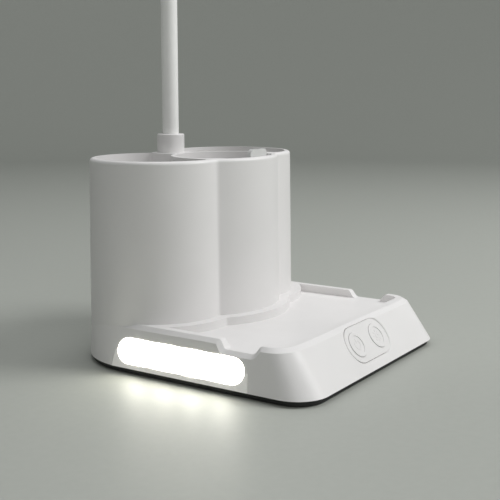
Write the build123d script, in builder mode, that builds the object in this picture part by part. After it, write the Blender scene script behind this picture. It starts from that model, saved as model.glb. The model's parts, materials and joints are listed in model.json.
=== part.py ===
from build123d import *

import os
from math import atan, cos, degrees, radians, sin, sqrt, tan

# Desk lamp on a white moulded base: a pen tower with three pockets, a phone tray in front of it,
# a night light in its left side, two touch buttons on the sloped front and a gooseneck with a slim
# head. Millimetres. X is the object's right seen from its front, -Y is the front, +Z is up, and the
# origin is the middle of the footprint on the table.

os.makedirs("parts", exist_ok=True)

# ---------------------------------------------------------------- driving dimensions
# Base
base_width = 140.0
base_depth = 145.0
side_run = 4.5
front_run = 14.2
rear_run = 0.9
front_corner_low = 15.8
front_corner_high = 11.0
rear_corner_low = 40.5
rear_corner_high = 34.2
foot_height = 3.0
rim_height = 23.3
shell_wall = 2.4
rim_chamfer = 1.9
ledge_width = 5.5
tray_depth = 4.0
tray_floor_wall = 2.0
notch_length = 15.8
notch_run = 2.8
notch_from_front = 38.8
notch_rounding = 2.2

# Pen tower
tower_top = 100.0
draft = 0.94
side_lobe_x = 31.45
side_lobe_from_rear = 35.1
side_lobe_radius = 33.2
front_lobe_from_rear = 37.3
front_lobe_radius = 41.0
crease_rounding = 2.0
tower_wall = 2.8
tower_rounding = 1.7
divider_from_rear = 58.5
divider_radius = 29.0
divider_wall = 2.0
pocket_floor = 27.0
pocket_floor_wall = 2.4
pocket_corner = 2.0

# Column that carries the neck
neck_from_rear = 19.0
column_radius = 11.0
column_wall = 2.4
column_web = 3.0

# Phone rest
rest_slot = 2.6
rest_thickness = 2.0
rest_half_width = 20.3
rest_curtain_wall = 1.6
rest_curtain_drop = 6.0
rest_shoulder_drop = 0.6
rest_tab_half_width = 7.2
rest_tab_height = 3.7
rest_tab_corner = 2.5

# Gooseneck
neck_radius = 4.3
collar_radius = 7.2
collar_height = 9.8
collar_rounding = 0.6
collar_depth = 8.0
ball_radius = 3.0
stem_radius = 1.9
neck_edge = 0.4
joint_gap = 2.0
socket_rim = 1.2
root_height = 16.0
lower_link_length = 26.0
lower_links = 4
upper_link_length = 22.0
upper_links = 6
neck_stud_radius = 3.0
neck_stud_length = 14.0
neck_nut_across = 10.0
neck_nut_height = 4.0
neck_washer_radius = 7.0
neck_washer_height = 1.0

# Lamp head
head_length = 172.0
head_width = 38.0
head_height = 12.0
head_wall = 1.6
head_rounding = 3.0
head_boss_length = 3.0
head_boss_radius = 5.0
head_stud_radius = 2.0
head_stud_length = 9.4
head_nut_across = 7.0
head_nut_height = 3.2
head_nut_seat = 2.6
head_nut_boss_radius = 4.2
head_window_inset = 6.0
head_diffuser_lip = 1.5
head_diffuser_flange = 0.6
head_board_thickness = 1.2
head_board_drop = 6.6
head_board_inset = 7.5
head_led_size = 2.8
head_led_height = 0.8
head_led_count = 8
head_led_from_end = 33.5
head_led_rows_apart = 11.0
head_screw_x = 9.5
head_screw_inset = 4.0
head_screw_length = 3.4
head_screw_head = 1.0

# Night light
pill_length = 72.3
pill_height = 12.2
pill_y = -2.5
pill_z = 11.25
pill_depth = 2.0
pill_proud = 0.3
pill_rounding = 0.25
light_frame_margin = 1.8
light_frame_flare = 1.2
light_frame_seam = 0.35
light_chamber_depth = 11.0
light_chamber_wall = 1.4
light_board_inset = 2.0
light_room_depth = 20.0
light_room_half = 41.0
light_board_thickness = 1.2
light_led_count = 4
light_led_pitch = 16.5
light_led_size = 3.0
light_led_height = 0.9

# Buttons
panel_half_straight = 10.2
panel_radius = 9.3
panel_up_slope = 14.3
panel_edge = 0.8
panel_back_thickness = 1.0
panel_ear = 1.7
panel_ear_radius = 6.0
panel_sink = 0.2
panel_room_half = 26.0
panel_room_depth = 12.0
button_radius = 6.3
button_proud = 0.2
button_dish_radius = 4.6
button_dish_depth = 0.3
button_rounding = 0.2
button_clear = 0.15
button_flange = 0.9
button_flange_thickness = 0.8
button_travel = 0.8
plunger_radius = 1.6
plunger_hold = 0.6
switch_size = 6.2
switch_height = 3.3
switch_clear = 0.3
button_board_width = 56.0
button_board_height = 10.0
board_thickness = 1.6
board_screw_inset = 3.0
board_screw_radius = 1.0
board_screw_head_radius = 1.8
board_screw_head_height = 1.0
board_screw_length = 5.0
post_radius = 2.2

# Inside the base
plate_height = 2.4
plate_inset = 1.5
plate_step = 1.4
foot_pad_radius = 6.5
foot_pad_proud = 0.6
foot_pad_recess = 0.8
boss_radius = 3.6
screw_radius = 1.5
screw_head_radius = 2.8
screw_head_height = 1.6
screw_length = 9.0
screw_front_x = 50.0
screw_from_front = 32.5
screw_rear_x = 38.0
screw_from_rear = 14.5
ballast_length = 78.0
ballast_depth = 44.0
ballast_height = 9.0
ballast_from_front = 53.5
ballast_corner = 4.0
cell_radius = 9.2
cell_length = 65.0
cell_from_rear = 45.5
cell_rounding = 0.8
cradle_wall = 1.6
cradle_side = 5.0
cradle_end = 13.0
main_board_width = 46.0
main_board_depth = 20.0
main_board_from_rear = 14.5
main_board_z = 8.0
usb_width = 9.0
usb_height = 3.3
usb_depth = 7.4
usb_shell = 0.4
usb_back = 1.4
usb_tongue_width = 6.2
usb_tongue_height = 0.8

# Clearances
fit = 0.15
running = 0.3
ball_clearance = 0.1
root = 0.4  # how far a boss or a post runs into the wall that it grows from
overrun = 1.0  # how far a cut starts or ends outside the wall that it opens

# ---------------------------------------------------------------- worked out from them
front_edge = -base_depth / 2
rear_edge = base_depth / 2
notch_centre = front_edge + notch_from_front
side_lobe_y = rear_edge - side_lobe_from_rear
front_lobe_y = rear_edge - front_lobe_from_rear
divider_y = rear_edge - divider_from_rear
neck_y = rear_edge - neck_from_rear
plate_bottom = foot_pad_proud
shell_height = rim_height - foot_height
tray_floor = rim_height - tray_depth
tray_underside = tray_floor - tray_floor_wall
cavity_top = pocket_floor - pocket_floor_wall
side_tilt = degrees(atan(side_run / shell_height))
front_tilt = degrees(atan(front_run / shell_height))
step_top = foot_height + plate_step


def at_height(low, high, z):
    """A base size at height z, between its value at the lower edge and at the rim."""
    return low + (high - low) * (z - foot_height) / shell_height


def base_outline(z, inset=0.0, front_inset=None):
    """Base outline at height z, drawn inwards by inset, and by front_inset at the sloped front."""
    front_inset = inset if front_inset is None else front_inset
    half = at_height(base_width / 2, base_width / 2 - side_run, z) - inset
    front = at_height(front_edge, front_edge + front_run, z) + front_inset
    rear = at_height(rear_edge, rear_edge - rear_run, z) - inset
    front_corner = at_height(front_corner_low, front_corner_high, z) - inset
    rear_corner = at_height(rear_corner_low, rear_corner_high, z) - inset
    with BuildSketch() as outline:
        with BuildLine():
            FilletPolyline(
                (-half, front),
                (half, front),
                (half, rear),
                (-half, rear),
                radius=[front_corner, front_corner, rear_corner, rear_corner],
                close=True,
            )
        make_face()
    return outline.sketch


def lobe_growth(z):
    """How much wider the drafted tower is at height z than at its top."""
    return (tower_top - z) * tan(radians(draft))


def tower_outline(z, grow=0.0):
    """The tower's three lobes at height z, each grown by grow, with rounded creases between them."""
    wider = lobe_growth(z) + grow
    with BuildSketch() as outline:
        with Locations((0, front_lobe_y)):
            Circle(front_lobe_radius + wider)
        with Locations((0, front_lobe_y - front_lobe_radius)):
            Rectangle(4 * front_lobe_radius, 2 * front_lobe_radius, mode=Mode.INTERSECT)
        with Locations((-side_lobe_x, side_lobe_y), (side_lobe_x, side_lobe_y)):
            Circle(side_lobe_radius + wider)
        fillet(outline.vertices().group_by(Axis.Y)[0], crease_rounding)
    return outline.sketch


# Planes of the two leaning faces. The left face's plane has its x towards the front.
left_tilt_x = at_height(base_width / 2, base_width / 2 - side_run, pill_z)
left_face = Plane(
    origin=(-left_tilt_x, pill_y, pill_z),
    x_dir=(0, -1, 0),
    z_dir=(-cos(radians(side_tilt)), 0, sin(radians(side_tilt))),
)
front_face = Plane(
    origin=(
        0,
        front_edge + panel_up_slope * sin(radians(front_tilt)),
        foot_height + panel_up_slope * cos(radians(front_tilt)),
    ),
    x_dir=(1, 0, 0),
    z_dir=(0, -cos(radians(front_tilt)), sin(radians(front_tilt))),
)

# Horizontal insets that give the leaning walls the shell's thickness.
side_inset = shell_wall / cos(radians(side_tilt))
front_inset = shell_wall / cos(radians(front_tilt))

front_screws = [(x * screw_front_x, front_edge + screw_from_front) for x in (-1, 1)]
rear_screws = [(x * screw_rear_x, rear_edge - screw_from_rear) for x in (-1, 1)]
pad_top = foot_pad_proud + foot_pad_recess
screw_top = pad_top + screw_length

button_places = [-panel_half_straight, panel_half_straight]
button_back = shell_wall + panel_back_thickness
panel_back_radius = button_radius + button_flange
panel_ear_half_straight = panel_half_straight + panel_radius + panel_ear - panel_ear_radius
button_rest_depth = button_back + button_flange_thickness
switch_top = button_rest_depth + button_travel + switch_clear
switch_bottom = switch_top + switch_height
button_board_screws = [
    (board_screw_inset - button_board_width / 2, 0),
    (button_board_width / 2 - board_screw_inset, 0),
]
main_board_y = rear_edge - main_board_from_rear
main_board_screws = [
    (
        x * (main_board_width / 2 - board_screw_inset),
        main_board_y + y * (main_board_depth / 2 - board_screw_inset),
    )
    for x in (-1, 1)
    for y in (-1, 1)
]
cell_y = rear_edge - cell_from_rear
cell_z = step_top + cradle_wall + cell_radius
ballast_y = front_edge + ballast_from_front
neck_seat = tower_top + collar_height - collar_depth
usb_mouth_y = rear_edge - rear_run / 2

rest_outer = front_lobe_radius - tower_wall
rest_inner = rest_outer - rest_slot
curtain_inner = rest_inner - rest_curtain_wall
slot_half_width = rest_half_width + running

light_foot = (pill_z - foot_height) / cos(radians(side_tilt))
frame_half = pill_length / 2 + light_frame_margin
frame_foot_half = frame_half + light_frame_flare

# ---------------------------------------------------------------- body shell
with BuildPart() as body_shell:
    with BuildSketch(Plane.XY.offset(foot_height)):
        add(base_outline(foot_height))
    with BuildSketch(Plane.XY.offset(rim_height)):
        add(base_outline(rim_height))
    loft(ruled=True)

    # Notches that let a phone lie or stand across the tray.
    with BuildSketch(Plane.YZ) as notch:
        with BuildLine():
            Polyline(
                (notch_centre - notch_length / 2 - 2 * notch_run, rim_height + tray_depth),
                (notch_centre - notch_length / 2, tray_floor),
                (notch_centre + notch_length / 2, tray_floor),
                (notch_centre + notch_length / 2 + 2 * notch_run, rim_height + tray_depth),
                close=True,
            )
        make_face()
        fillet(notch.vertices().group_by(Axis.Y)[0], notch_rounding)
    extrude(amount=base_width / 2, both=True, mode=Mode.SUBTRACT)
    notch_mouth = body_shell.edges().filter_by(Axis.X).group_by(Axis.Z)[-1].sort_by(Axis.Y)[1:3]
    fillet(notch_mouth, notch_rounding)

    # Bevelled edge of the rim, all round and through the notches, but not across the tray.
    rim_edges = body_shell.edges().filter_by(lambda e: e.center().Z > tray_floor - notch_rounding)
    notch_span = (notch_centre - notch_length, notch_centre + notch_length)
    across_tray = rim_edges.filter_by(Axis.X).filter_by_position(Axis.Y, *notch_span)
    chamfer(rim_edges - across_tray, rim_chamfer)

    # Tower: three drafted lobes and the column that carries the neck.
    low = tray_underside
    tall = tower_top - low
    with BuildSketch(Plane.XY.offset(low)):
        add(tower_outline(low))
        with Locations((0, neck_y)):
            Circle(column_radius + lobe_growth(low))
    extrude(amount=tall, taper=draft)
    top_edges = body_shell.faces().sort_by(Axis.Z)[-1].outer_wire().edges()
    fillet(top_edges, tower_rounding)

    # Tray: the recess keeps a ledge along the tower and a rim along the other sides.
    with BuildSketch(Plane.XY.offset(tray_floor)):
        add(base_outline(rim_height, ledge_width))
        add(tower_outline(rim_height, ledge_width), mode=Mode.SUBTRACT)
        with Locations((0, rear_edge)):
            Rectangle(base_width, 2 * front_lobe_from_rear, mode=Mode.SUBTRACT)
    extrude(amount=2 * tray_depth, mode=Mode.SUBTRACT)

    # Pen pockets.
    with BuildSketch(Plane.XY.offset(pocket_floor)) as side_pocket:
        with Locations((-side_lobe_x, side_lobe_y)):
            Circle(side_lobe_radius - tower_wall)
        with Locations((0, divider_y)):
            Circle(divider_radius + divider_wall, mode=Mode.SUBTRACT)
        with Locations((0, neck_y)):
            Circle(column_radius, mode=Mode.SUBTRACT)
        with Locations((base_width / 2, 0)):
            Rectangle(base_width, 2 * base_depth, mode=Mode.SUBTRACT)
        fillet(side_pocket.vertices(), pocket_corner)
    extrude(amount=tower_top, mode=Mode.SUBTRACT)
    with BuildSketch(Plane.XY.offset(pocket_floor)) as right_pocket:
        add(side_pocket.sketch.mirror(Plane.YZ))
    extrude(amount=tower_top, mode=Mode.SUBTRACT)
    with BuildSketch(Plane.XY.offset(pocket_floor)) as middle_pocket:
        with Locations(Location((0, divider_y), -90)):
            Circle(divider_radius)
        with Locations((0, front_lobe_y)):
            Circle(curtain_inner, mode=Mode.INTERSECT)
        fillet(middle_pocket.vertices(), pocket_corner)
    extrude(amount=tower_top, mode=Mode.SUBTRACT)

    # Slot for the phone rest behind the front wall, and the lower curtain wall behind it.
    with BuildSketch(Plane.XY.offset(pocket_floor)):
        with Locations((0, front_lobe_y)):
            Circle(rest_outer)
            Circle(rest_inner, mode=Mode.SUBTRACT)
        with Locations((0, front_lobe_y - front_lobe_radius)):
            Rectangle(2 * slot_half_width, front_lobe_radius, mode=Mode.INTERSECT)
    extrude(amount=tower_top, mode=Mode.SUBTRACT)
    with BuildSketch(Plane.XY.offset(tower_top - rest_curtain_drop)):
        with Locations((0, front_lobe_y)):
            Circle(rest_outer)
            Circle(curtain_inner - overrun, mode=Mode.SUBTRACT)
        with Locations((0, front_lobe_y - front_lobe_radius)):
            Rectangle(2 * slot_half_width, front_lobe_radius, mode=Mode.INTERSECT)
    extrude(amount=tower_top, mode=Mode.SUBTRACT)

    # Hollow of the base, open below, with a deeper part under the tower.
    with BuildSketch(Plane.XY.offset(foot_height)):
        add(base_outline(foot_height, side_inset, front_inset))
    with BuildSketch(Plane.XY.offset(tray_underside)):
        add(base_outline(tray_underside, side_inset, front_inset))
    loft(ruled=True, mode=Mode.SUBTRACT)
    with BuildSketch(Plane.XY.offset(tray_underside - overrun)):
        add(tower_outline(cavity_top, -shell_wall))
        with Locations((0, neck_y)):
            Circle(column_radius - column_wall)
    extrude(amount=cavity_top - tray_underside + overrun, mode=Mode.SUBTRACT)

    # Bore of the column, and the hole in its web for the neck's stud.
    with BuildSketch(Plane.XY.offset(cavity_top - overrun)):
        with Locations((0, neck_y)):
            Circle(column_radius - column_wall)
    extrude(amount=tower_top - column_web - cavity_top + overrun, mode=Mode.SUBTRACT)
    with BuildSketch(Plane.XY.offset(tower_top)):
        with Locations((0, neck_y)):
            Circle(neck_stud_radius + fit)
    extrude(amount=-2 * column_web, mode=Mode.SUBTRACT)

    # Screw bosses and the posts that carry the button board.
    for places, roof in ((front_screws, tray_underside), (rear_screws, cavity_top)):
        with BuildSketch(Plane.XY.offset(step_top)):
            with Locations(*places):
                Circle(boss_radius)
        extrude(amount=roof - step_top + root)
    with BuildSketch(Plane.XY.offset(step_top)):
        with Locations(*front_screws, *rear_screws):
            Circle(screw_radius + fit)
    extrude(amount=screw_top + running - step_top, mode=Mode.SUBTRACT)
    with BuildSketch(front_face.offset(-switch_bottom)):
        with Locations(*button_board_screws):
            Circle(post_radius)
    extrude(amount=switch_bottom - shell_wall + root)
    with BuildSketch(front_face.offset(-switch_bottom)):
        with Locations(*button_board_screws):
            Circle(board_screw_radius + fit)
    extrude(amount=board_screw_length - board_thickness + running, mode=Mode.SUBTRACT)

    # Opening for the button panel, and the room behind it under the rim.
    with BuildSketch(front_face.offset(-shell_wall)):
        SlotCenterToCenter(2 * panel_half_straight, 2 * panel_radius)
    extrude(amount=2 * shell_wall, mode=Mode.SUBTRACT)
    with BuildSketch(front_face.offset(-panel_edge)):
        SlotCenterToCenter(2 * panel_half_straight, 2 * panel_radius)
    extrude(amount=2 * panel_edge, taper=-45, mode=Mode.SUBTRACT)
    with BuildSketch(front_face.offset(-shell_wall)):
        SlotCenterToCenter(2 * panel_half_straight, 2 * (panel_back_radius + running))
        SlotCenterToCenter(2 * panel_ear_half_straight, 2 * (panel_ear_radius + running))
    extrude(amount=shell_wall - switch_top, mode=Mode.SUBTRACT)

    # Opening for the night light, cut up from the lower edge.
    with BuildSketch(left_face.offset(-light_chamber_depth)):
        SlotOverall(pill_length, pill_height)
        with BuildLine():
            Polyline(
                (-frame_half, 0),
                (frame_half, 0),
                (frame_foot_half, -light_foot - overrun),
                (-frame_foot_half, -light_foot - overrun),
                close=True,
            )
        make_face()
    extrude(amount=light_chamber_depth + overrun, mode=Mode.SUBTRACT)

    # Charging port in the rear wall.
    with BuildSketch(Plane.XZ.offset(-rear_edge)):
        with Locations((0, main_board_z + board_thickness + usb_height / 2)):
            SlotOverall(usb_width + 2 * fit, usb_height + 2 * fit)
    extrude(amount=2 * shell_wall, mode=Mode.SUBTRACT)
body_shell.part.label = "body_shell"
export_step(body_shell.part, "parts/body_shell.step")

# ---------------------------------------------------------------- phone rest
# A curved plate in the slot behind the tower's front wall, pulled up by its tab.
with BuildPart() as phone_rest:
    for half_width, top in (
        (rest_half_width, tower_top - rest_shoulder_drop),
        (rest_tab_half_width, tower_top + rest_tab_height),
    ):
        with BuildSketch(Plane.XY.offset(pocket_floor + running)):
            with Locations((0, front_lobe_y)):
                Circle(rest_outer - running)
                Circle(rest_outer - running - rest_thickness, mode=Mode.SUBTRACT)
            with Locations((0, front_lobe_y - front_lobe_radius)):
                Rectangle(2 * half_width, front_lobe_radius, mode=Mode.INTERSECT)
        extrude(amount=top - pocket_floor - running)
    tab_corners = phone_rest.edges().filter_by(Axis.Y, tolerance=12).group_by(Axis.Z)[-1]
    fillet(tab_corners, rest_tab_corner)
phone_rest.part.label = "phone_rest"
export_step(phone_rest.part, "parts/phone_rest.step")

# ---------------------------------------------------------------- bottom plate
# Black plate under the shell. Its step locates it inside the shell's lower edge.
with BuildPart() as bottom_plate:
    with BuildSketch(Plane.XY.offset(plate_bottom)):
        add(base_outline(foot_height, plate_inset))
    extrude(amount=foot_height - plate_bottom)
    with BuildSketch(Plane.XY.offset(foot_height)):
        add(base_outline(step_top, side_inset + fit, front_inset + fit))
        with Locations((-base_width / 2, pill_y)):
            Rectangle(2 * light_room_depth, 2 * light_room_half, mode=Mode.SUBTRACT)
        with Locations((0, front_edge)):
            Rectangle(2 * panel_room_half, 2 * panel_room_depth, mode=Mode.SUBTRACT)
    extrude(amount=plate_step)
    with BuildSketch(Plane.XY.offset(step_top)):
        with Locations(*main_board_screws):
            Circle(post_radius)
    extrude(amount=main_board_z - step_top)
    with BuildSketch(Plane.XY.offset(main_board_z)):
        with Locations(*main_board_screws):
            Circle(board_screw_radius + fit)
    extrude(amount=board_thickness - board_screw_length - running, mode=Mode.SUBTRACT)
    with BuildSketch(Plane.XY.offset(plate_bottom)):
        with Locations(*front_screws, *rear_screws):
            Circle(foot_pad_radius + fit)
    extrude(amount=foot_pad_recess, mode=Mode.SUBTRACT)
    with BuildSketch(Plane.XY.offset(pad_top)):
        with Locations(*front_screws, *rear_screws):
            Circle(screw_head_radius + fit)
    extrude(amount=screw_head_height, mode=Mode.SUBTRACT)
    with BuildSketch(Plane.XY.offset(pad_top)):
        with Locations(*front_screws, *rear_screws):
            Circle(screw_radius + fit)
    extrude(amount=screw_length, mode=Mode.SUBTRACT)
bottom_plate.part.label = "bottom_plate"
export_step(bottom_plate.part, "parts/bottom_plate.step")

with BuildPart() as plate_screws:
    with BuildSketch(Plane.XY.offset(pad_top)):
        with Locations(*front_screws, *rear_screws):
            Circle(screw_head_radius)
    extrude(amount=screw_head_height)
    with BuildSketch(Plane.XY.offset(pad_top)):
        with Locations(*front_screws, *rear_screws):
            Circle(screw_radius)
    extrude(amount=screw_length)
plate_screws.part.label = "plate_screws"
export_step(plate_screws.part, "parts/plate_screws.step")

with BuildPart() as rubber_feet:
    with BuildSketch(Plane.XY):
        with Locations(*front_screws, *rear_screws):
            Circle(foot_pad_radius)
    extrude(amount=pad_top)
    fillet(rubber_feet.edges().group_by(Axis.Z)[0], foot_pad_proud / 2)
rubber_feet.part.label = "rubber_feet"
export_step(rubber_feet.part, "parts/rubber_feet.step")

# ---------------------------------------------------------------- ballast
# Steel slab bonded to the bottom plate under the tray, so that the lamp doesn't tip forwards.
with BuildPart() as ballast:
    with BuildSketch(Plane.XY.offset(step_top)):
        with Locations((0, ballast_y)):
            RectangleRounded(ballast_length, ballast_depth, ballast_corner)
    extrude(amount=ballast_height)
ballast.part.label = "ballast"
export_step(ballast.part, "parts/ballast.step")

# ---------------------------------------------------------------- battery
with BuildPart() as battery_cell:
    with BuildSketch(Plane.YZ.offset(-cell_length / 2)):
        with Locations((cell_y, cell_z)):
            Circle(cell_radius)
    extrude(amount=cell_length)
    fillet(battery_cell.edges().filter_by(GeomType.CIRCLE), cell_rounding)
battery_cell.part.label = "battery_cell"
export_step(battery_cell.part, "parts/battery_cell.step")

with BuildPart() as battery_cradle:
    with BuildSketch(Plane.XY.offset(step_top)):
        with Locations((0, cell_y)):
            Rectangle(cell_length + 2 * (running + cradle_wall), 2 * cell_radius)
    extrude(amount=cradle_wall + cradle_side)
    with BuildSketch(Plane.XY.offset(step_top)):
        with GridLocations(cell_length + 2 * running + cradle_wall, 0, 2, 1):
            with Locations((0, cell_y)):
                Rectangle(cradle_wall, 2 * cell_radius)
    extrude(amount=cradle_wall + cradle_end)
    with BuildSketch(Plane.YZ.offset(-cell_length / 2 - running)):
        with Locations((cell_y, cell_z)):
            Circle(cell_radius + fit)
    extrude(amount=cell_length + 2 * running, mode=Mode.SUBTRACT)
battery_cradle.part.label = "battery_cradle"
export_step(battery_cradle.part, "parts/battery_cradle.step")

# ---------------------------------------------------------------- main board and charging socket
with BuildPart() as main_board:
    with BuildSketch(Plane.XY.offset(main_board_z)):
        with Locations((0, main_board_y)):
            Rectangle(main_board_width, main_board_depth)
        with Locations(*main_board_screws):
            Circle(board_screw_radius + fit, mode=Mode.SUBTRACT)
    extrude(amount=board_thickness)
main_board.part.label = "main_board"
export_step(main_board.part, "parts/main_board.step")

with BuildPart() as usb_socket:
    with BuildSketch(Plane.XZ.offset(-usb_mouth_y)):
        with Locations((0, main_board_z + board_thickness + usb_height / 2)):
            SlotOverall(usb_width, usb_height)
    extrude(amount=usb_depth)
    with BuildSketch(Plane.XZ.offset(-usb_mouth_y)):
        with Locations((0, main_board_z + board_thickness + usb_height / 2)):
            SlotOverall(usb_width - 2 * usb_shell, usb_height - 2 * usb_shell)
            Rectangle(usb_tongue_width, usb_tongue_height, mode=Mode.SUBTRACT)
    extrude(amount=usb_depth - usb_back, mode=Mode.SUBTRACT)
usb_socket.part.label = "usb_socket"
export_step(usb_socket.part, "parts/usb_socket.step")

# ---------------------------------------------------------------- buttons
with BuildPart() as button_panel:
    with BuildSketch(front_face.offset(-shell_wall)):
        SlotCenterToCenter(2 * panel_half_straight, 2 * (panel_radius - fit))
    extrude(amount=shell_wall - panel_sink)
    with BuildSketch(front_face.offset(-button_back)):
        SlotCenterToCenter(2 * panel_half_straight, 2 * panel_back_radius)
        SlotCenterToCenter(2 * panel_ear_half_straight, 2 * panel_ear_radius)
    extrude(amount=panel_back_thickness)
    with BuildSketch(front_face.offset(-button_back)):
        with Locations(*[(x, 0) for x in button_places]):
            Circle(button_radius + button_clear)
    extrude(amount=button_back, mode=Mode.SUBTRACT)
button_panel.part.label = "button_panel"
export_step(button_panel.part, "parts/button_panel.step")

for place, name in zip(button_places, ("power_button", "night_light_button")):
    with BuildPart() as button:
        with BuildSketch(front_face.offset(-button_back)):
            with Locations((place, 0)):
                Circle(button_radius)
        extrude(amount=button_back + button_proud)
        crown = button.faces().sort_by(Axis(front_face.origin, front_face.z_dir))[-1]
        fillet(crown.edges(), button_rounding)
        with BuildSketch(front_face.offset(button_proud - button_dish_depth)):
            with Locations((place, 0)):
                Circle(button_dish_radius)
        extrude(amount=2 * button_dish_depth, mode=Mode.SUBTRACT)
        with BuildSketch(front_face.offset(-button_rest_depth)):
            with Locations((place, 0)):
                Circle(button_radius + button_flange)
        extrude(amount=button_flange_thickness)
    button.part.label = name
    export_step(button.part, f"parts/{name}.step")

    with BuildPart() as plunger:
        with BuildSketch(front_face.offset(-switch_top - plunger_hold)):
            with Locations((place, 0)):
                Circle(plunger_radius)
        extrude(amount=switch_top + plunger_hold - button_rest_depth)
    plunger.part.label = f"{name}_plunger"
    export_step(plunger.part, f"parts/{name}_plunger.step")

with BuildPart() as tact_switches:
    with BuildSketch(front_face.offset(-switch_bottom)):
        with Locations(*[(x, 0) for x in button_places]):
            Rectangle(switch_size, switch_size)
    extrude(amount=switch_height)
    with BuildSketch(front_face.offset(-switch_top)):
        with Locations(*[(x, 0) for x in button_places]):
            Circle(plunger_radius + fit)
    extrude(amount=-plunger_hold - button_travel - running, mode=Mode.SUBTRACT)
tact_switches.part.label = "tact_switches"
export_step(tact_switches.part, "parts/tact_switches.step")

with BuildPart() as button_board:
    with BuildSketch(front_face.offset(-switch_bottom - board_thickness)):
        Rectangle(button_board_width, button_board_height)
        with Locations(*button_board_screws):
            Circle(board_screw_radius + fit, mode=Mode.SUBTRACT)
    extrude(amount=board_thickness)
button_board.part.label = "button_board"
export_step(button_board.part, "parts/button_board.step")

# Small screws of both boards: each is a shank through its board with a flat head behind it.
with BuildPart() as board_screws:
    for face, places, out in (
        (Plane.XY.offset(main_board_z + board_thickness), main_board_screws, 1),
        (front_face.offset(-switch_bottom - board_thickness), button_board_screws, -1),
    ):
        with BuildSketch(face):
            with Locations(*places):
                Circle(board_screw_head_radius)
        extrude(amount=out * board_screw_head_height)
        with BuildSketch(face):
            with Locations(*places):
                Circle(board_screw_radius)
        extrude(amount=-out * board_screw_length)
board_screws.part.label = "board_screws"
export_step(board_screws.part, "parts/board_screws.step")

# ---------------------------------------------------------------- night light
# Housing fitted from below: a frame flush with the shell's side, with a light box behind it.
with BuildPart() as night_light_housing:
    with BuildSketch(left_face.offset(-shell_wall)):
        with BuildLine():
            Polyline(
                (light_frame_seam - frame_half, 0),
                (frame_half - light_frame_seam, 0),
                (frame_foot_half - light_frame_seam, -light_foot),
                (light_frame_seam - frame_foot_half, -light_foot),
                close=True,
            )
        make_face()
        SlotOverall(pill_length - 2 * fit, pill_height - 2 * fit)
    extrude(amount=shell_wall)
    with BuildSketch(left_face.offset(-light_chamber_depth)):
        SlotOverall(pill_length - 2 * fit, pill_height - 2 * fit)
    extrude(amount=light_chamber_depth - shell_wall)
    with BuildSketch(left_face.offset(-pill_depth)):
        SlotOverall(pill_length, pill_height)
    extrude(amount=2 * pill_depth, mode=Mode.SUBTRACT)
    with BuildSketch(left_face.offset(light_chamber_wall - light_chamber_depth)):
        SlotOverall(pill_length - 2 * light_chamber_wall, pill_height - 2 * light_chamber_wall)
    extrude(amount=light_chamber_depth - light_chamber_wall, mode=Mode.SUBTRACT)
    with BuildSketch(Plane.XY.offset(foot_height)):
        with Locations((-base_width / 2, pill_y)):
            Rectangle(base_width, base_depth)
    extrude(amount=-foot_height - light_chamber_depth, mode=Mode.SUBTRACT)
night_light_housing.part.label = "night_light_housing"
export_step(night_light_housing.part, "parts/night_light_housing.step")

with BuildPart() as night_light_diffuser:
    with BuildSketch(left_face.offset(-pill_depth)):
        SlotOverall(pill_length - 2 * fit, pill_height - 2 * fit)
    extrude(amount=pill_depth + pill_proud)
    outer = night_light_diffuser.faces().sort_by(Axis(left_face.origin, left_face.z_dir))[-1]
    fillet(outer.edges(), pill_rounding)
night_light_diffuser.part.label = "night_light_diffuser"
export_step(night_light_diffuser.part, "parts/night_light_diffuser.step")

with BuildPart() as night_light_board:
    with BuildSketch(left_face.offset(light_chamber_wall - light_chamber_depth)):
        SlotOverall(pill_length - 2 * light_board_inset, pill_height - 2 * light_board_inset)
    extrude(amount=light_board_thickness)
night_light_board.part.label = "night_light_board"
export_step(night_light_board.part, "parts/night_light_board.step")

with BuildPart() as night_light_leds:
    with BuildSketch(left_face.offset(light_chamber_wall + light_board_thickness - light_chamber_depth)):
        with GridLocations(light_led_pitch, 0, light_led_count, 1):
            Rectangle(light_led_size, light_led_size)
    extrude(amount=light_led_height)
night_light_leds.part.label = "night_light_leds"
export_step(night_light_leds.part, "parts/night_light_leds.step")

# ---------------------------------------------------------------- neck fixing
with BuildPart() as neck_collar:
    with BuildSketch(Plane.XY.offset(tower_top)):
        with Locations((0, neck_y)):
            Circle(collar_radius)
    extrude(amount=collar_height)
    fillet(neck_collar.edges().group_by(Axis.Z)[-1], collar_rounding)
    with BuildSketch(Plane.XY.offset(tower_top)):
        with Locations((0, neck_y)):
            Circle(neck_stud_radius + fit)
    extrude(amount=collar_height, mode=Mode.SUBTRACT)
    with BuildSketch(Plane.XY.offset(neck_seat)):
        with Locations((0, neck_y)):
            Circle(neck_radius + fit)
    extrude(amount=collar_height, mode=Mode.SUBTRACT)
neck_collar.part.label = "neck_collar"
export_step(neck_collar.part, "parts/neck_collar.step")

with BuildPart() as neck_washer:
    with BuildSketch(Plane.XY.offset(tower_top - column_web)):
        with Locations((0, neck_y)):
            Circle(neck_washer_radius)
            Circle(neck_stud_radius + fit, mode=Mode.SUBTRACT)
    extrude(amount=-neck_washer_height)
neck_washer.part.label = "neck_washer"
export_step(neck_washer.part, "parts/neck_washer.step")

with BuildPart() as neck_nut:
    with BuildSketch(Plane.XY.offset(tower_top - column_web - neck_washer_height)):
        with Locations((0, neck_y)):
            RegularPolygon(neck_nut_across / 2, 6, major_radius=False)
            Circle(neck_stud_radius + fit, mode=Mode.SUBTRACT)
    extrude(amount=-neck_nut_height)
neck_nut.part.label = "neck_nut"
export_step(neck_nut.part, "parts/neck_nut.step")

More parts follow.
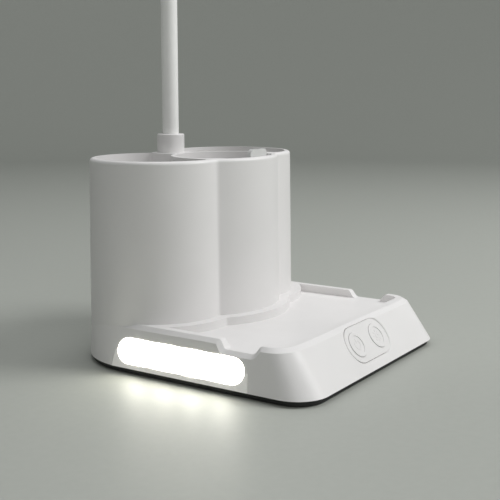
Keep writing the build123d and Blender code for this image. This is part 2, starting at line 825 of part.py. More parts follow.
# ---------------------------------------------------------------- gooseneck
# The neck is a stack of ball-jointed links. The lower ones stand straight at rest and each upper
# one leans forwards by the same step, up to a level head.
lean_step = 90.0 / upper_links
link_lengths = [lower_link_length] * lower_links + [upper_link_length] * upper_links
link_leans = [0.0] * lower_links + [lean_step * (i + 1) for i in range(upper_links)]


def along(lean):
    """Direction of a link that leans forwards by so many degrees."""
    return Vector(0, -sin(radians(lean)), cos(radians(lean)))


joint_points = [Vector(0, neck_y, neck_seat + root_height + collar_depth)]
for length, lean in zip(link_lengths, link_leans):
    joint_points.append(joint_points[-1] + along(lean) * length)


def link_plane(start, lean):
    """Half-section plane of a link: x is outwards, y runs along the link."""
    return Plane(origin=start, x_dir=(0, cos(radians(lean)), sin(radians(lean))), z_dir=(1, 0, 0))


shoulder = socket_rim + joint_gap
ball_foot = sqrt(ball_radius**2 - stem_radius**2)
socket_radius = ball_radius + ball_clearance
socket_mouth = sqrt(socket_radius**2 - socket_rim**2)


def draw_ball_end(length):
    """Outer shoulder, stem and ball at the far end of a link's half-section."""
    Polyline(
        (neck_radius, length - shoulder - neck_edge),
        (neck_radius - neck_edge, length - shoulder),
        (stem_radius, length - shoulder),
        (stem_radius, length - ball_foot),
    )
    ThreePointArc((stem_radius, length - ball_foot), (ball_radius, length), (0, length + ball_radius))


def draw_socket_end():
    """Socket for the ball below, from the axis out to the link's side."""
    ThreePointArc((0, socket_radius), (socket_radius, 0), (socket_mouth, -socket_rim))
    Polyline(
        (socket_mouth, -socket_rim),
        (neck_radius - neck_edge, -socket_rim),
        (neck_radius, neck_edge - socket_rim),
    )


with BuildPart() as neck_root:
    root_length = joint_points[0].Z - neck_seat
    with BuildSketch(link_plane(Vector(0, neck_y, neck_seat), 0)):
        with BuildLine():
            draw_ball_end(root_length)
            Polyline(
                (0, root_length + ball_radius),
                (0, -neck_stud_length),
                (neck_stud_radius, -neck_stud_length),
                (neck_stud_radius, 0),
                (neck_radius, 0),
                (neck_radius, root_length - shoulder - neck_edge),
            )
        make_face()
    revolve(axis=Axis((0, neck_y, 0), (0, 0, 1)))
neck_root.part.label = "neck_root"
export_step(neck_root.part, "parts/neck_root.step")

for number, (start, length, lean) in enumerate(zip(joint_points, link_lengths, link_leans), 1):
    with BuildPart() as link:
        with BuildSketch(link_plane(start, lean)):
            with BuildLine():
                draw_socket_end()
                if number < len(link_lengths):
                    draw_ball_end(length)
                    Line((neck_radius, neck_edge - socket_rim), (neck_radius, length - shoulder - neck_edge))
                    Line((0, length + ball_radius), (0, socket_radius))
                else:
                    Polyline(
                        (neck_radius, neck_edge - socket_rim),
                        (neck_radius, length),
                        (head_stud_radius, length),
                        (head_stud_radius, length + head_stud_length),
                        (0, length + head_stud_length),
                        (0, socket_radius),
                    )
            make_face()
        revolve(axis=Axis(start, along(lean)))
    link.part.label = f"neck_link_{number}"
    export_step(link.part, f"parts/neck_link_{number}.step")

# ---------------------------------------------------------------- lamp head
# The head lies level in front of the last link. Its cover is a pill-shaped tray, open below.
head_z = joint_points[-1].Z
head_seat_y = joint_points[-1].Y
head_rear_y = head_seat_y - head_boss_length
head_y = head_rear_y - head_length / 2
head_nut_y = head_rear_y - head_nut_seat
head_top = head_z + head_height / 2
head_bottom = head_z - head_height / 2


def head_pill(inset):
    """The head's outline in plan, drawn inwards by inset."""
    with Locations((0, head_y)):
        SlotOverall(head_length - 2 * inset, head_width - 2 * inset, rotation=90)


board_z = head_bottom + head_board_drop
head_led_pitch = (head_length - 2 * head_led_from_end) / (head_led_count - 1)
head_screws = [
    (x * head_screw_x, head_y + y * (head_length / 2 - head_width / 2 - head_screw_inset))
    for x in (-1, 1)
    for y in (-1, 0, 1)
]

with BuildPart() as head_cover:
    with BuildSketch(Plane.XY.offset(head_bottom)):
        head_pill(0)
    extrude(amount=head_height)
    fillet(head_cover.edges().group_by(Axis.Z)[-1], head_rounding)
    with BuildSketch(Plane.XZ.offset(-head_seat_y)):
        with Locations((0, head_z)):
            Circle(head_boss_radius)
    extrude(amount=head_boss_length + head_rounding)
    with BuildSketch(Plane.XY.offset(head_bottom)):
        head_pill(head_wall)
    extrude(amount=head_height - head_wall, mode=Mode.SUBTRACT)
    with BuildSketch(Plane.XY.offset(board_z + head_board_thickness)):
        with Locations(*head_screws):
            Circle(post_radius)
    extrude(amount=head_top - head_wall + root - board_z - head_board_thickness)
    with BuildSketch(Plane.XY.offset(board_z)):
        with Locations(*head_screws):
            Circle(board_screw_radius + fit)
    extrude(amount=head_screw_length + running, mode=Mode.SUBTRACT)
    with BuildSketch(Plane.XZ.offset(-head_rear_y)):
        with Locations((0, head_z)):
            Circle(head_nut_boss_radius)
    extrude(amount=head_nut_seat)
    with BuildSketch(Plane.XZ.offset(-head_seat_y)):
        with Locations((0, head_z)):
            Circle(head_stud_radius + fit)
    extrude(amount=head_boss_length + 2 * head_nut_seat, mode=Mode.SUBTRACT)
head_cover.part.label = "head_cover"
export_step(head_cover.part, "parts/head_cover.step")

with BuildPart() as head_nut:
    with BuildSketch(Plane.XZ.offset(-head_nut_y)):
        with Locations((0, head_z)):
            RegularPolygon(head_nut_across / 2, 6, major_radius=False)
            Circle(head_stud_radius + fit, mode=Mode.SUBTRACT)
    extrude(amount=head_nut_height)
head_nut.part.label = "head_nut"
export_step(head_nut.part, "parts/head_nut.step")

with BuildPart() as head_frame:
    with BuildSketch(Plane.XY.offset(head_bottom)):
        head_pill(head_wall + fit)
        with Locations((0, head_y)):
            SlotOverall(
                head_length - 2 * head_window_inset,
                head_width - 2 * head_window_inset,
                rotation=90,
                mode=Mode.SUBTRACT,
            )
    extrude(amount=head_wall)
head_frame.part.label = "head_frame"
export_step(head_frame.part, "parts/head_frame.step")

with BuildPart() as head_diffuser:
    with BuildSketch(Plane.XY.offset(head_bottom)):
        head_pill(head_window_inset + fit)
    extrude(amount=head_wall)
    with BuildSketch(Plane.XY.offset(head_bottom + head_wall)):
        head_pill(head_window_inset - head_diffuser_lip)
    extrude(amount=head_diffuser_flange)
head_diffuser.part.label = "head_diffuser"
export_step(head_diffuser.part, "parts/head_diffuser.step")

with BuildPart() as head_board:
    with BuildSketch(Plane.XY.offset(board_z)):
        head_pill(head_board_inset)
        with Locations(*head_screws):
            Circle(board_screw_radius + fit, mode=Mode.SUBTRACT)
    extrude(amount=head_board_thickness)
head_board.part.label = "head_board"
export_step(head_board.part, "parts/head_board.step")

with BuildPart() as head_leds:
    with BuildSketch(Plane.XY.offset(board_z)):
        with Locations((0, head_y)):
            with GridLocations(head_led_rows_apart, head_led_pitch, 2, head_led_count):
                Rectangle(head_led_size, head_led_size)
    extrude(amount=-head_led_height)
head_leds.part.label = "head_leds"
export_step(head_leds.part, "parts/head_leds.step")

with BuildPart() as head_board_screws:
    with BuildSketch(Plane.XY.offset(board_z)):
        with Locations(*head_screws):
            Circle(board_screw_head_radius)
    extrude(amount=-head_screw_head)
    with BuildSketch(Plane.XY.offset(board_z)):
        with Locations(*head_screws):
            Circle(board_screw_radius)
    extrude(amount=head_screw_length)
head_board_screws.part.label = "head_board_screws"
export_step(head_board_screws.part, "parts/head_board_screws.step")
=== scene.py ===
import json
from math import cos, pi, radians, sin

import bmesh
import bpy
from mathutils import Matrix, Vector
from mathutils.geometry import interpolate_bezier

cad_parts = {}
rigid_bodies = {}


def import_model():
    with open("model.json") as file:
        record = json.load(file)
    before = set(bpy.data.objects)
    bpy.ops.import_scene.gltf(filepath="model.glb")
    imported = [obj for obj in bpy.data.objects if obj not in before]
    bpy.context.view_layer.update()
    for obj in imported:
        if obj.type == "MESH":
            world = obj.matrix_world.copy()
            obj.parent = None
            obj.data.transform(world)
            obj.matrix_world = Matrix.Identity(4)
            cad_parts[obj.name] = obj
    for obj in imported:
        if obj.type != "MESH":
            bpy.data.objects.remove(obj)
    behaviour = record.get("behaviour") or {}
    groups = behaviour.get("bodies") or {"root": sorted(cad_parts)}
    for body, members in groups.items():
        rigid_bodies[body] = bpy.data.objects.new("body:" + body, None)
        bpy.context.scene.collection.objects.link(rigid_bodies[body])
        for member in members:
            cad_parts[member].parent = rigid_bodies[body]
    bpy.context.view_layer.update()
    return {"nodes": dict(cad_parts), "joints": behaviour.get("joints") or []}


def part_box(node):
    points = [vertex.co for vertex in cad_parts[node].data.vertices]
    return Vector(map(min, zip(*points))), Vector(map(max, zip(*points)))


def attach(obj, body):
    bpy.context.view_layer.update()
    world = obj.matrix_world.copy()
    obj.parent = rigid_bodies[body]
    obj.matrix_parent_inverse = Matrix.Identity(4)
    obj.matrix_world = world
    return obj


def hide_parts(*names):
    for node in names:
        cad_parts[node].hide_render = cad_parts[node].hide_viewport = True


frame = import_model()
nodes = frame["nodes"]
MM = 0.001

# ---------------------------------------------------------------- body shell
# The whole base and pen tower is one injection moulding in warm white ABS. Its steel mould was
# spark-eroded, which leaves a fine satin grain, and thick places cool a shade unevenly.
WHITE = (0.805, 0.79, 0.785)
WHITE_SHADE = (0.77, 0.755, 0.75)
COOLING_SIZE = 45
GLOSS_SIZE = 9


def new_material(name):
    """A node material, with its tree, its shader and the point that a pattern is drawn at."""
    material = bpy.data.materials.new(name)
    material.use_nodes = True
    tree = material.node_tree
    shader = tree.nodes["Principled BSDF"]
    place = tree.nodes.new("ShaderNodeTexCoord")
    return material, tree, shader, place.outputs["Object"]


def noise(tree, where, size_mm, detail=2.0):
    """Noise whose blotches are about size_mm across."""
    pattern = tree.nodes.new("ShaderNodeTexNoise")
    pattern.inputs["Scale"].default_value = 1 / (size_mm * MM)
    pattern.inputs["Detail"].default_value = detail
    tree.links.new(where, pattern.inputs["Vector"])
    return pattern.outputs["Fac"]


def ramp(tree, value, low, high, start=0.3, end=0.7):
    """Colour that runs from low to high as value goes from start to end."""
    colours = tree.nodes.new("ShaderNodeValToRGB")
    colours.color_ramp.elements[0].position = start
    colours.color_ramp.elements[0].color = (*low, 1)
    colours.color_ramp.elements[1].position = end
    colours.color_ramp.elements[1].color = (*high, 1)
    tree.links.new(value, colours.inputs["Fac"])
    return colours.outputs["Color"]


def spread(tree, value, low, high, start=0.3, end=0.7):
    """Number that runs from low to high as value goes from start to end."""
    mapped = tree.nodes.new("ShaderNodeMapRange")
    mapped.inputs["From Min"].default_value = start
    mapped.inputs["From Max"].default_value = end
    mapped.inputs["To Min"].default_value = low
    mapped.inputs["To Max"].default_value = high
    tree.links.new(value, mapped.inputs["Value"])
    return mapped.outputs["Result"]


def grain(tree, shader, value, depth_mm):
    """Surface relief of that depth on a shader, at half strength."""
    bump = tree.nodes.new("ShaderNodeBump")
    bump.inputs["Strength"].default_value = 0.5
    bump.inputs["Distance"].default_value = depth_mm * MM
    tree.links.new(value, bump.inputs["Height"])
    tree.links.new(bump.outputs["Normal"], shader.inputs["Normal"])


def moulded_plastic(name, shade, colour, rough, grain_mm, depth_mm):
    """Moulded plastic with uneven shade, uneven gloss and the mould's grain."""
    material, tree, shader, where = new_material(name)
    cooling = noise(tree, where, COOLING_SIZE, 3)
    tree.links.new(ramp(tree, cooling, shade, colour), shader.inputs["Base Color"])
    gloss = noise(tree, where, GLOSS_SIZE)
    tree.links.new(spread(tree, gloss, *rough), shader.inputs["Roughness"])
    grain(tree, shader, noise(tree, where, grain_mm, 1), depth_mm)
    return material


def dress(material, *names):
    """Gives CAD nodes that material."""
    for name in names:
        for place in nodes[name].material_slots:
            place.material = material


white_shell = moulded_plastic(
    "white_shell", WHITE_SHADE, WHITE, rough=(0.40, 0.50), grain_mm=0.35, depth_mm=0.010
)
dress(white_shell, "body_shell")

# ---------------------------------------------------------------- bottom plate
# A flat black ABS plate closes the base. Its step sits inside the shell's lower edge and four
# screws hold it. It shows as a thin dark line under the shell.
black_plate = moulded_plastic(
    "black_plate",
    shade=(0.006, 0.006, 0.006),
    colour=(0.010, 0.010, 0.011),
    rough=(0.45, 0.6),
    grain_mm=0.5,
    depth_mm=0.02,
)
dress(black_plate, "bottom_plate")

# ---------------------------------------------------------------- rubber feet
# Four pads are die-cut from black rubber sheet. Each is stuck into a round recess of the plate,
# over the head of a screw.
rubber = moulded_plastic(
    "rubber",
    shade=(0.015, 0.015, 0.015),
    colour=(0.03, 0.03, 0.03),
    rough=(0.75, 0.9),
    grain_mm=0.8,
    depth_mm=0.05,
)
dress(rubber, "rubber_feet")

# ---------------------------------------------------------------- screws, nuts, ballast and socket
# The screws and nuts are zinc-plated steel, bright with a slight blue cast. The ballast is a bare
# rolled slab under the tray, and the charging socket a folded nickel-plated shell.
PATINA_SIZE = 2.5
SCRATCH_SIZE = 0.8


def plated_steel(name, dark, light, rough):
    """Plated steel with uneven colour and gloss."""
    material, tree, shader, where = new_material(name)
    patina = noise(tree, where, PATINA_SIZE, 3)
    tree.links.new(ramp(tree, patina, dark, light), shader.inputs["Base Color"])
    shader.inputs["Metallic"].default_value = 1.0
    scratches = noise(tree, where, SCRATCH_SIZE)
    tree.links.new(spread(tree, scratches, *rough), shader.inputs["Roughness"])
    return material


zinc = plated_steel("zinc", dark=(0.50, 0.51, 0.54), light=(0.66, 0.67, 0.69), rough=(0.25, 0.42))
dress(zinc, "plate_screws", "board_screws", "head_board_screws", "neck_washer", "neck_nut", "head_nut")
slab_steel = plated_steel(
    "slab_steel", dark=(0.22, 0.22, 0.23), light=(0.34, 0.34, 0.35), rough=(0.45, 0.62)
)
dress(slab_steel, "ballast")
socket_steel = plated_steel(
    "socket_steel", dark=(0.55, 0.55, 0.55), light=(0.72, 0.72, 0.72), rough=(0.22, 0.35)
)
dress(socket_steel, "usb_socket")

# ---------------------------------------------------------------- battery
# One steel cell in a shrunk blue sleeve lies under the tower. It is clipped into a white moulded
# cradle that is bonded to the bottom plate.
cell_sleeve = moulded_plastic(
    "cell_sleeve",
    shade=(0.02, 0.09, 0.22),
    colour=(0.03, 0.12, 0.28),
    rough=(0.25, 0.35),
    grain_mm=1.5,
    depth_mm=0.02,
)
dress(cell_sleeve, "battery_cell")
dress(white_shell, "battery_cradle")

# ---------------------------------------------------------------- circuit boards
# The boards in the base are glass fibre under a green solder mask, and those behind the lights
# under a white one. The front board carries moulded black switches.
board_green = moulded_plastic(
    "board_green",
    shade=(0.008, 0.07, 0.03),
    colour=(0.012, 0.11, 0.045),
    rough=(0.3, 0.4),
    grain_mm=0.6,
    depth_mm=0.01,
)
dress(board_green, "main_board", "button_board")
board_white = moulded_plastic(
    "board_white",
    shade=(0.74, 0.74, 0.74),
    colour=(0.80, 0.80, 0.80),
    rough=(0.3, 0.4),
    grain_mm=0.6,
    depth_mm=0.01,
)
dress(board_white, "night_light_board", "head_board")
switch_black = moulded_plastic(
    "switch_black",
    shade=(0.015, 0.015, 0.016),
    colour=(0.028, 0.028, 0.03),
    rough=(0.35, 0.5),
    grain_mm=0.4,
    depth_mm=0.01,
)
dress(switch_black, "tact_switches")

# ---------------------------------------------------------------- button panel and buttons
# A stadium-shaped plate is set in the sloped front, a hair under its surface. Two round buttons
# of the same white plastic stand in it, each with a shallow dish and a moulded mark.
white_trim = moulded_plastic(
    "white_trim", WHITE_SHADE, WHITE, rough=(0.34, 0.44), grain_mm=0.25, depth_mm=0.006
)
dress(white_trim, "button_panel", "power_button", "night_light_button")
dress(white_trim, "power_button_plunger", "night_light_button_plunger")

DISH_DEPTH = 0.3 * MM
MARK_WIDTH = 0.5 * MM
MARK_HEIGHT = 0.10 * MM
MARK_SINK = 0.05 * MM
RING_RADIUS = 2.3 * MM
RING_START = radians(-235)
RING_END = radians(55)
STROKE_LOW = 1.1 * MM
STROKE_HIGH = 3.0 * MM
SUN_RADIUS = 1.2 * MM
SUN_RAYS = 8
RAY_START = 2.1 * MM
RAY_END = 3.0 * MM
ARC_STEPS = 48
press = next(joint for joint in frame["joints"] if joint["name"] == "power_button_press")
outwards = -Vector(press["axis"])
up_slope = outwards.cross(Vector((1, 0, 0)))


def dish_place(name):
    """Matrix that takes x to the right, y up the slope and z out of a button's dish."""
    low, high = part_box(name)
    reach = max(vertex.co.dot(outwards) for vertex in nodes[name].data.vertices)
    centre = (low + high) / 2
    centre += outwards * (reach - DISH_DEPTH - MARK_SINK - centre.dot(outwards))
    heights = [vertex.co.dot(up_slope) for vertex in nodes[name].data.vertices]
    centre += up_slope * ((min(heights) + max(heights)) / 2 - centre.dot(up_slope))
    turn = Matrix((Vector((1, 0, 0)), up_slope, outwards)).transposed().to_4x4()
    return Matrix.Translation(centre) @ turn


def add_bar(mesh, start, end):
    """A flat bar with round ends, laid from start to end in a mark's plane."""
    start, end = Vector((*start, 0)), Vector((*end, 0))
    run = end - start
    made = bmesh.ops.create_circle(mesh, cap_ends=True, segments=12, radius=MARK_WIDTH / 2)
    far = [vertex for vertex in made["verts"] if vertex.co.dot(run) > 1e-9]
    bmesh.ops.translate(mesh, verts=far, vec=run)
    bmesh.ops.translate(mesh, verts=made["verts"], vec=start)
    face = made["verts"][0].link_faces[0]
    top = bmesh.ops.extrude_face_region(mesh, geom=[face])["geom"]
    lifted = [item for item in top if isinstance(item, bmesh.types.BMVert)]
    bmesh.ops.translate(mesh, verts=lifted, vec=(0, 0, MARK_HEIGHT + MARK_SINK))


def add_arc(mesh, radius, start, end):
    """A flat band along an arc round the mark's middle, between two angles."""
    inner, outer = radius - MARK_WIDTH / 2, radius + MARK_WIDTH / 2
    tall = MARK_HEIGHT + MARK_SINK
    corners = [mesh.verts.new((x, 0, z)) for x, z in ((inner, 0), (outer, 0), (outer, tall), (inner, tall))]
    section = mesh.faces.new(corners)
    bmesh.ops.rotate(mesh, verts=corners, cent=(0, 0, 0), matrix=Matrix.Rotation(start, 3, "Z"))
    whole = abs(end - start) >= 2 * pi
    bmesh.ops.spin(
        mesh,
        geom=list(section.edges) if whole else [section],
        cent=(0, 0, 0),
        axis=(0, 0, 1),
        angle=end - start,
        steps=ARC_STEPS,
        use_merge=whole,
    )
    if whole:
        bmesh.ops.delete(mesh, geom=[section], context="FACES_ONLY")


def finish_piece(mesh, name, material, place=None):
    """Turns a bmesh into a named piece at its place, shaded smooth but for its sharp edges."""
    if place is not None:
        bmesh.ops.transform(mesh, matrix=place, verts=mesh.verts)
    bmesh.ops.remove_doubles(mesh, verts=mesh.verts, dist=1e-7)
    bmesh.ops.recalc_face_normals(mesh, faces=mesh.faces)
    for edge in mesh.edges:
        edge.smooth = len(edge.link_faces) == 2 and edge.calc_face_angle() < radians(35)
    for face in mesh.faces:
        face.smooth = True
    data = bpy.data.meshes.new(name)
    mesh.to_mesh(data)
    mesh.free()
    data.materials.append(material)
    piece = bpy.data.objects.new(name, data)
    bpy.context.scene.collection.objects.link(piece)
    return piece


power_mark = bmesh.new()
add_arc(power_mark, RING_RADIUS, RING_START, RING_END)
add_bar(power_mark, (0, STROKE_LOW), (0, STROKE_HIGH))
piece = finish_piece(power_mark, "power_mark", white_trim, dish_place("power_button"))
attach(piece, "power_button")

light_mark = bmesh.new()
add_arc(light_mark, SUN_RADIUS, 0, 2 * pi)
for ray in range(SUN_RAYS):
    way = Vector((cos(ray * 2 * pi / SUN_RAYS), sin(ray * 2 * pi / SUN_RAYS)))
    add_bar(light_mark, way * RAY_START, way * RAY_END)
piece = finish_piece(light_mark, "light_mark", white_trim, dish_place("night_light_button"))
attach(piece, "night_light_button")

# ---------------------------------------------------------------- night light
# The housing is a white insert flush with the shell's side. A faint even glow is painted into it for the
# light that leaks through its thin wall and spills from the lit cover.
# Its milky polycarbonate cover glows, brightest in front of the four diodes behind it.
MILK_SHADE = (0.86, 0.86, 0.84)
MILK = (0.92, 0.92, 0.90)
WARM_LIGHT = (1.0, 0.96, 0.84)
PALE_LIGHT = (1.0, 0.98, 0.88)
# Colour and strength of the painted glow over the whole housing.
HOUSING_PAINTED_GLOW_COLOUR = (1.0, 1.0, 0.92, 1)
HOUSING_PAINTED_GLOW = 0.13
DIODE_GLOW = 1.0
DIODE_PITCH = 16.5 * MM
COVER_GLOW_LOW = 3.5
COVER_GLOW_HIGH = 14.0


def lit_plastic(name):
    """Milky polycarbonate that gives a warm white light, a little uneven in colour."""
    material, tree, shader, where = new_material(name)
    milk = ramp(tree, noise(tree, where, 14), MILK_SHADE, MILK)
    tree.links.new(milk, shader.inputs["Base Color"])
    shader.inputs["Roughness"].default_value = 0.35
    glow = ramp(tree, noise(tree, where, 16), WARM_LIGHT, PALE_LIGHT)
    tree.links.new(glow, shader.inputs["Emission Color"])
    return material, tree, shader, where


def arithmetic(tree, operation, value, by=0.0):
    """One step of arithmetic on a value."""
    step = tree.nodes.new("ShaderNodeMath")
    step.operation = operation
    step.inputs[1].default_value = by
    tree.links.new(value, step.inputs[0])
    return step.outputs[0]


# The housing emits a faint even glow: painted light that stands for light leaking through it and spilling
# from the cover.
housing = moulded_plastic(
    "housing_painted_glow", WHITE_SHADE, WHITE, rough=(0.34, 0.44), grain_mm=0.25, depth_mm=0.006
)
shader = housing.node_tree.nodes["Principled BSDF"]
shader.inputs["Emission Color"].default_value = HOUSING_PAINTED_GLOW_COLOUR
shader.inputs["Emission Strength"].default_value = HOUSING_PAINTED_GLOW
dress(housing, "night_light_housing")

cover, tree, shader, where = lit_plastic("lit_cover")
diode_low, diode_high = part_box("night_light_leds")
along = tree.nodes.new("ShaderNodeSeparateXYZ")
tree.links.new(where, along.inputs[0])
offset = arithmetic(tree, "SUBTRACT", along.outputs["Y"], (diode_low.y + diode_high.y) / 2)
wave = arithmetic(tree, "COSINE", arithmetic(tree, "MULTIPLY", offset, 2 * pi / DIODE_PITCH))
glow = spread(tree, wave, COVER_GLOW_LOW, COVER_GLOW_HIGH, start=1.0, end=-1.0)
tree.links.new(glow, shader.inputs["Emission Strength"])
dress(cover, "night_light_diffuser")

lens = lit_plastic("diode_lens")[0]
lens.node_tree.nodes["Principled BSDF"].inputs["Emission Strength"].default_value = DIODE_GLOW
dress(lens, "night_light_leds")

# ---------------------------------------------------------------- phone rest
# A curved plate of frosted, slightly see-through plastic slides in a slot behind the tower's front
# wall, where friction holds it. Only its tab stands above the tower.
FROST_SHADE = (0.80, 0.80, 0.79)
FROST = (0.86, 0.86, 0.85)
frosted_rest, tree, shader, where = new_material("frosted_rest")
frost = ramp(tree, noise(tree, where, 20), FROST_SHADE, FROST)
tree.links.new(frost, shader.inputs["Base Color"])
tree.links.new(spread(tree, noise(tree, where, 5), 0.3, 0.42), shader.inputs["Roughness"])
shader.inputs["Transmission Weight"].default_value = 0.25
grain(tree, shader, noise(tree, where, 0.3), depth_mm=0.006)
dress(frosted_rest, "phone_rest")

# ---------------------------------------------------------------- neck collar
# A turned sleeve, sprayed in the shell's white. It stands on the column and hides the place where
# the neck enters the tower.
dress(white_trim, "neck_collar")

# ---------------------------------------------------------------- gooseneck
# A steel core of ball-jointed links inside a sleeve of matt white silicone. The sleeve is drawn as
# one length over each link, and each ends in a dome about the next joint, so a bent neck is closed.
silicone = moulded_plastic(
    "silicone",
    shade=(0.89, 0.885, 0.87),
    colour=(0.93, 0.925, 0.91),
    rough=(0.42, 0.52),
    grain_mm=0.2,
    depth_mm=0.008,
)
SLEEVE_SIDES = 48
SLEEVE_STEPS = 14
DOME_STEPS = 8
STUD_LENGTH = 14 * MM
STUD_RADIUS = 3 * MM
bends = [joint for joint in frame["joints"] if joint["name"].startswith("neck_")]
bends.sort(key=lambda joint: joint["pos_m"][2])
link_low, link_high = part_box("neck_link_1")
sleeve_radius = (link_high.x - link_low.x) / 2


def sleeve_rings(start, end, lean_start, lean_end):
    """Places of a sleeve's rings from start to end, leaning forwards by those angles there."""
    pull = Vector((0, 0, (end - start).length / 3))
    pull_start = Matrix.Rotation(lean_start, 3, "X") @ pull
    pull_end = Matrix.Rotation(lean_end, 3, "X") @ pull
    line = interpolate_bezier(start, start + pull_start, end - pull_end, end, SLEEVE_STEPS + 1)
    rings = []
    for step, point in enumerate(line):
        lean = lean_start + (lean_end - lean_start) * step / SLEEVE_STEPS
        rings.append(Matrix.Translation(point) @ Matrix.Rotation(lean, 4, "X"))
    return rings


def dome_rings(place):
    """Places of the rings that round a sleeve's end off beyond its last place."""
    rings = []
    for step in range(1, DOME_STEPS):
        angle = radians(90 * step / DOME_STEPS)
        out = Matrix.Translation((0, 0, sleeve_radius * sin(angle)))
        rings.append(place @ out @ Matrix.Scale(cos(angle), 4))
    return rings


def add_sleeve(name, rings, body, node):
    """A closed sleeve through its rings, which stands for one node of the neck."""
    tube = bmesh.new()
    bmesh.ops.create_circle(
        tube, cap_ends=True, segments=SLEEVE_SIDES, radius=sleeve_radius, matrix=rings[0]
    )
    edges = list(tube.edges)
    for before, after in zip(rings, rings[1:]):
        made = bmesh.ops.extrude_edge_only(tube, edges=edges)["geom"]
        edges = [item for item in made if isinstance(item, bmesh.types.BMEdge) and item.is_boundary]
        far = [item for item in made if isinstance(item, bmesh.types.BMVert)]
        bmesh.ops.transform(tube, matrix=after @ before.inverted(), verts=far)
    bmesh.ops.contextual_create(tube, geom=edges)
    piece = finish_piece(tube, name, silicone)
    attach(piece, body)
    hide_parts(node)


joint_places = [Vector(joint["pos_m"]) for joint in bends]
head_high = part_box("head_cover")[1]
link_ends = joint_places + [Vector((0, head_high.y, joint_places[-1].z))]
link_leans = [Vector((0, 0, 1)).angle(high - low) for low, high in zip(link_ends, link_ends[1:])]
leans_below = [0.0] + link_leans
leans_above = link_leans + link_leans[-1:]
end_leans = [(below + above) / 2 for below, above in zip(leans_below, leans_above)]

# The root goes down into the collar, and its threaded stud through the column's web.
stud_foot = Vector((0, joint_places[0].y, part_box("neck_root")[0].z))
seat = stud_foot + Vector((0, 0, STUD_LENGTH))
stud_scale = Matrix.Scale(STUD_RADIUS / sleeve_radius, 4)
rings = [Matrix.Translation(stud_foot) @ stud_scale, Matrix.Translation(seat) @ stud_scale]
rings += sleeve_rings(seat, joint_places[0], 0.0, 0.0)
rings += dome_rings(rings[-1])
add_sleeve("neck_sleeve_root", rings, bends[0]["parent"], "neck_root")

for number, bend in enumerate(bends, 1):
    rings = sleeve_rings(*link_ends[number - 1:number + 1], *end_leans[number - 1:number + 1])
    if number < len(bends):
        rings += dome_rings(rings[-1])
    add_sleeve(f"neck_sleeve_{number}", rings, bend["child"], f"neck_link_{number}")

# ---------------------------------------------------------------- lamp head
# A slim pill-shaped cover in the same white plastic, open below, holds a white board with two rows
# of diodes. A milky diffuser in a thin frame closes it.
dress(white_shell, "head_cover")
dress(white_trim, "head_frame")
diode_yellow = moulded_plastic(
    "diode_yellow",
    shade=(0.75, 0.62, 0.20),
    colour=(0.85, 0.72, 0.28),
    rough=(0.3, 0.4),
    grain_mm=0.5,
    depth_mm=0.01,
)
dress(diode_yellow, "head_leds")
milky = moulded_plastic(
    "milky",
    shade=(0.82, 0.82, 0.81),
    colour=(0.87, 0.87, 0.86),
    rough=(0.28, 0.38),
    grain_mm=0.3,
    depth_mm=0.004,
)
milky.node_tree.nodes["Principled BSDF"].inputs["Transmission Weight"].default_value = 0.15
dress(milky, "head_diffuser")

# ---------------------------------------------------------------- floor
# A plain pale satin floor curves up into a round backdrop. It is glossy enough to show a soft
# reflection of the night light.
FLOOR = (0.42, 0.435, 0.40)
FLOOR_DARK = [part * 0.97 for part in FLOOR]
FLOOR_ROUGHNESS = 0.50
FLOOR_RADIUS = 1.3
CURVE_RADIUS = 0.5
CURVE_STEPS = 12
WALL_HEIGHT = 0.5
satin_floor, tree, shader, where = new_material("floor")
tree.links.new(ramp(tree, noise(tree, where, 4, 4), FLOOR_DARK, FLOOR), shader.inputs["Base Color"])
shader.inputs["Roughness"].default_value = FLOOR_ROUGHNESS
sweep = bmesh.new()
bmesh.ops.create_circle(sweep, cap_ends=True, segments=96, radius=FLOOR_RADIUS)
edges = list(sweep.edges)
for step in range(1, CURVE_STEPS + 1):
    rise = radians(90 * step / CURVE_STEPS)
    made = bmesh.ops.extrude_edge_only(sweep, edges=edges)["geom"]
    edges = [item for item in made if isinstance(item, bmesh.types.BMEdge)]
    far = {vertex for edge in edges for vertex in edge.verts}
    for vertex in far:
        outer = vertex.co.xy.normalized() * (FLOOR_RADIUS + CURVE_RADIUS * sin(rise))
        vertex.co = (*outer, CURVE_RADIUS * (1 - cos(rise)))
made = bmesh.ops.extrude_edge_only(sweep, edges=edges)["geom"]
far = [item for item in made if isinstance(item, bmesh.types.BMVert)]
bmesh.ops.translate(sweep, verts=far, vec=(0, 0, WALL_HEIGHT))
floor = finish_piece(sweep, "floor", satin_floor)

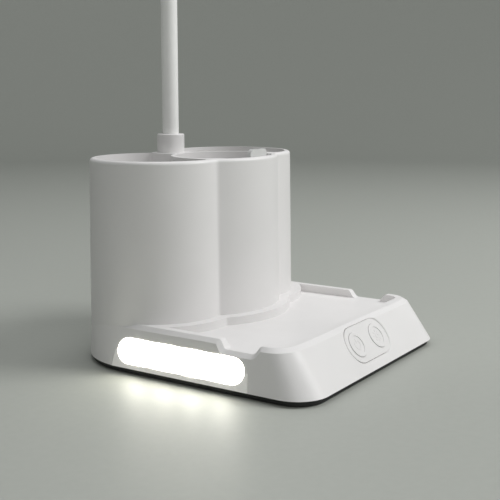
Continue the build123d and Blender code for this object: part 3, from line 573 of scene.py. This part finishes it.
# ---------------------------------------------------------------- lights
# The main soft lamp stands high in front on the right. A wide one hangs above, a weak one stands
# on the left, and a pale even sky fills the shadows.
SKY = (0.9, 0.93, 0.95, 1)
SKY_STRENGTH = 0.30


def add_lamp(name, place, target, size, watts):
    """A soft square lamp that points at a target."""
    data = bpy.data.lights.new(name, "AREA")
    data.shape = "SQUARE"
    data.size = size
    data.energy = watts
    lamp = bpy.data.objects.new(name, data)
    bpy.context.scene.collection.objects.link(lamp)
    lamp.location = place
    lamp.rotation_mode = "QUATERNION"
    lamp.rotation_quaternion = (Vector(target) - Vector(place)).to_track_quat("-Z", "Y")


add_lamp("key", place=(0.55, -0.85, 0.95), target=(0, 0, 0.08), size=0.6, watts=11.0)
add_lamp("top", place=(0.2, 0.1, 1.3), target=(0, 0, 0), size=0.8, watts=5.0)
add_lamp("fill", place=(-0.75, -0.9, 0.7), target=(0, 0, 0.12), size=0.6, watts=2.2)

studio = bpy.data.worlds.new("studio")
bpy.context.scene.world = studio
studio.use_nodes = True
studio.node_tree.nodes["Background"].inputs["Color"].default_value = SKY
studio.node_tree.nodes["Background"].inputs["Strength"].default_value = SKY_STRENGTH

# ---------------------------------------------------------------- camera
# It looks at the front left corner from a little above the tower's top. The yaw is from straight
# back towards the right, and the drop is below level.
CAMERA_PLACE = (-398.1 * MM, -258.7 * MM, 133.9 * MM)
CAMERA_YAW = radians(56.66)
CAMERA_DROP = radians(9.75)
CAMERA_LENS = 68.1
SENSOR_WIDTH = 36.0
camera_data = bpy.data.cameras.new("camera")
camera_data.lens = CAMERA_LENS
camera_data.sensor_width = SENSOR_WIDTH
camera = bpy.data.objects.new("camera", camera_data)
bpy.context.scene.collection.objects.link(camera)
camera.location = CAMERA_PLACE
level = cos(CAMERA_DROP)
ahead = Vector((sin(CAMERA_YAW) * level, cos(CAMERA_YAW) * level, -sin(CAMERA_DROP)))
camera.rotation_mode = "QUATERNION"
camera.rotation_quaternion = ahead.to_track_quat("-Z", "Y")
bpy.context.scene.camera = camera
bpy.context.scene.view_settings.view_transform = "Standard"
